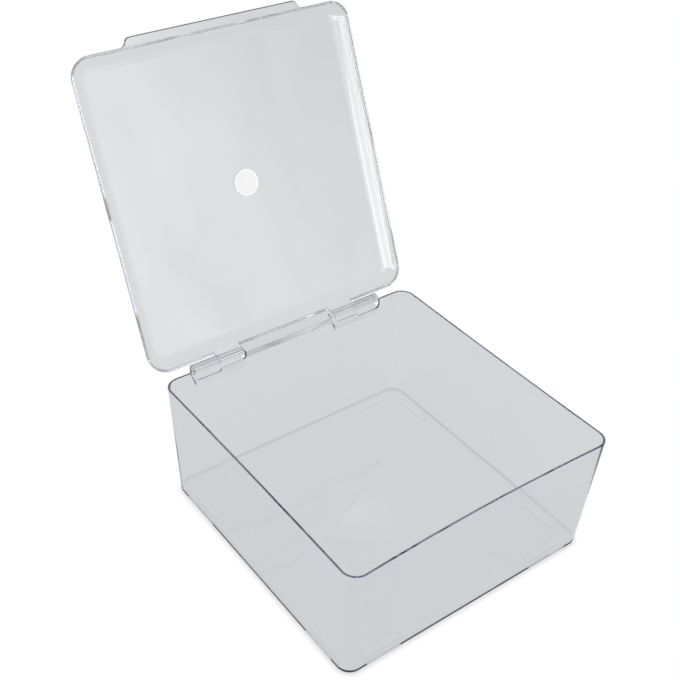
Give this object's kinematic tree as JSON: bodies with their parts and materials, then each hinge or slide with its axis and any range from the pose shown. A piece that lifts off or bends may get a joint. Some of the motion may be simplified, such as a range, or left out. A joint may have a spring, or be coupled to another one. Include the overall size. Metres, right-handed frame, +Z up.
{
  "type": "hinged storage box",
  "caption": "Clear square storage box with a shallow hinged lid that leans open on a stop rail, a front finger tab and short feet.",
  "frame": {"origin": "middle of the plane that the feet stand on, under the middle of the tray; the tray's underside is 0.8 mm above it", "axes": "+Z up, +Y towards the hinged rear wall, +X to the right as seen from the front; the lid is at rest open on its stop, 114.2 degrees from closed"},
  "size_m": [0.2084, 0.2995, 0.2826],
  "materials": {
    "clear_plastic": "polished clear acrylic, as moulded",
    "milky_plastic": "translucent white, smooth"
  },
  "bodies": {
    "tray": {"tray": "clear_plastic", "hinge_pin_left": "clear_plastic", "hinge_pin_right": "clear_plastic"},
    "lid": {"lid": "clear_plastic", "gate_cover": "milky_plastic"}
  },
  "joints": [
    {"name": "lid_hinge", "type": "hinge", "parent": "tray", "child": "lid", "pos_m": [0, 0.1048, 0.0875], "axis": [1, 0, 0], "range_deg": [0, 114.2]}
  ]
}
